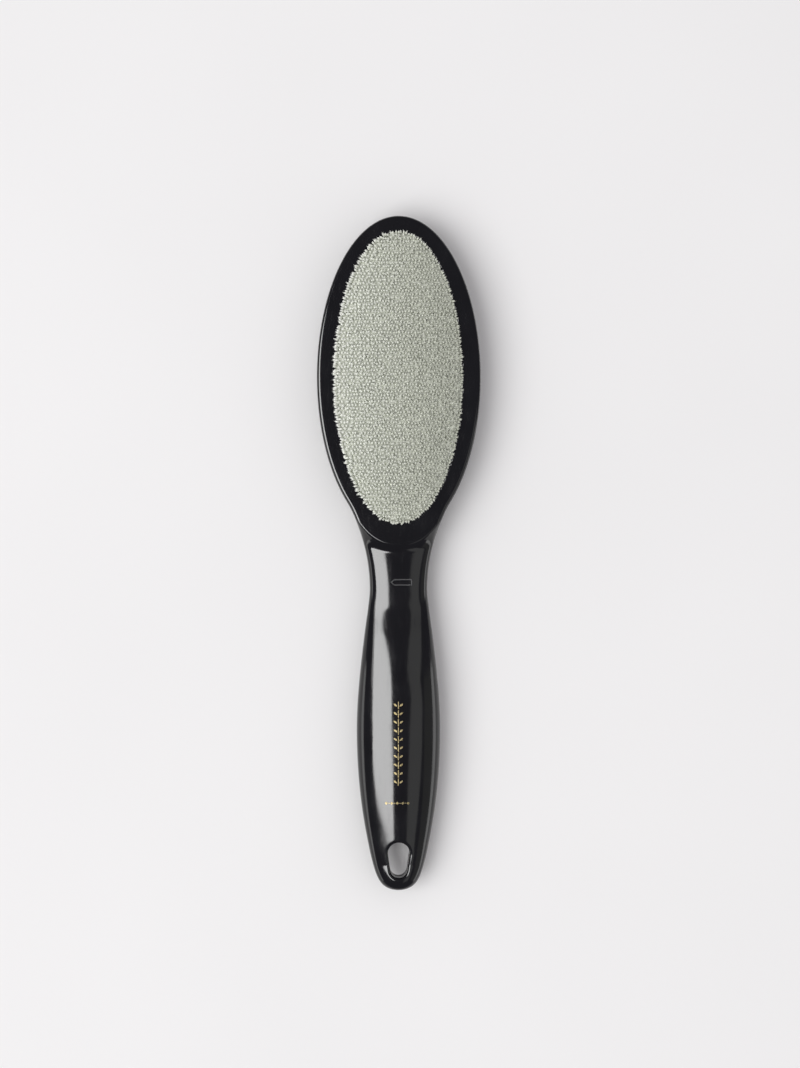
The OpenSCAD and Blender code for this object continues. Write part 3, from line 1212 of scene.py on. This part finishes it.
def camera():
    """A long lens straight above the brush, a little to its left."""
    data = bpy.data.cameras.new("camera")
    data.sensor_fit = "VERTICAL"
    data.sensor_height = 36
    place, aim = Vector(CAMERA_PLACE), Vector(CAMERA_AIM)
    data.lens = data.sensor_height * (place - aim).length / SHOWN_HEIGHT
    obj = add_object("camera", data)
    back = (place - aim).normalized()
    right = Vector((0, 1, 0)).cross(back).normalized()
    turn = Matrix((right, back.cross(right), back)).transposed().to_4x4()
    obj.matrix_world = Matrix.Translation(place) @ turn
    bpy.context.scene.camera = obj


def floor_plane():
    """A wide matt floor, white with a faint cloudiness."""
    mesh = bpy.data.meshes.new("floor")
    corners = [(x * FLOOR_HALF, y * FLOOR_HALF, 0) for x, y in ((-1, -1), (1, -1), (1, 1), (-1, 1))]
    mesh.from_pydata(corners, [], [(0, 1, 2, 3)])
    n = Nodes("floor")
    n.colour(n.noise(6, 2), (0.3, (0.83, 0.83, 0.825)), (0.7, (0.85, 0.85, 0.845)))
    n.fixed(Roughness=0.9, Specular_IOR_Level=0.1)
    mesh.materials.append(n.material)
    add_object("floor", mesh)


def glow(strength):
    """White light of an even strength."""
    material = bpy.data.materials.new("glow")
    material.use_nodes = True
    tree = material.node_tree
    tree.nodes.clear()
    emit = tree.nodes.new("ShaderNodeEmission")
    emit.inputs["Color"].default_value = (1, 1, 1, 1)
    emit.inputs["Strength"].default_value = strength
    out = tree.nodes.new("ShaderNodeOutputMaterial")
    tree.links.new(emit.outputs[0], out.inputs["Surface"])
    return material


def card(name, corners, strength):
    """A flat light that only shows in reflections."""
    mesh = bpy.data.meshes.new(name)
    mesh.from_pydata(corners, [], [tuple(range(len(corners)))])
    mesh.materials.append(glow(strength))
    obj = add_object(name, mesh)
    obj.visible_camera = False
    obj.visible_diffuse = False
    obj.visible_shadow = False
    obj.visible_transmission = False


def lamp(name, place, size, power):
    """A square area light that points at the brush and doesn't show in reflections."""
    data = bpy.data.lights.new(name, "AREA")
    data.shape = "RECTANGLE"
    data.size = data.size_y = size
    data.energy = power
    obj = add_object(name, data)
    obj.location = place
    obj.rotation_euler = Vector(place).to_track_quat("Z", "Y").to_euler()
    obj.visible_glossy = False
    obj.visible_camera = False


def world():
    """An even surround, with its own colour for reflections and for the open background."""
    space = bpy.data.worlds.new("studio")
    bpy.context.scene.world = space
    space.use_nodes = True
    tree = space.node_tree
    path = tree.nodes.new("ShaderNodeLightPath")
    below = None
    for ray, colour in (("Is Glossy Ray", WORLD_GLOSSY), ("Is Camera Ray", WORLD_SEEN)):
        mix = tree.nodes.new("ShaderNodeMix")
        mix.data_type = "RGBA"
        tree.links.new(path.outputs[ray], mix.inputs["Factor"])
        if below:
            tree.links.new(below, mix.inputs[6])
        else:
            mix.inputs[6].default_value = (*WORLD_DIFFUSE, 1)
        mix.inputs[7].default_value = (*colour, 1)
        below = mix.outputs[2]
    tree.links.new(below, tree.nodes["Background"].inputs["Color"])


def studio():
    """The floor, the surround, one lamp, and the cards whose reflections model the gloss."""
    world()
    floor_plane()
    key = KEY_EDGE + KEY_TOP + KEY_BACK
    card("key_card", [(x * HIGH, y * HIGH, HIGH) for x, y in key], 12.0)
    card("halo_card", [(x * HIGH, y * HIGH, HIGH) for x, y in HALO], 4.0)
    card("fill_card", [(x, y, LOW) for x, y in FILL_LEFT + FILL_END + FILL_RIGHT], 0.88)
    for name, x, top, strength in WALLS:
        corners = [(x, WALL_FROM, 0), (x, WALL_TO, 0), (x, WALL_TO, top), (x, WALL_FROM, top)]
        card(f"{name}_wall", corners, strength)
    lamp("key", (-2.1, -0.7, 3.0), 3.0, 90)
    bpy.context.scene.view_settings.view_transform = "Standard"


# --- Scene ---

camera()
studio()
build_shells(black_plastic(), etched_plastic())
build_pads(woven_ground(), foam(), velour_pile())
film = adhesive()
for side in ("front", "rear"):
    node = frame["nodes"][f"{side}_adhesive_film"]
    for slot in node.material_slots:
        slot.material = film
build_foil(gold_foil())
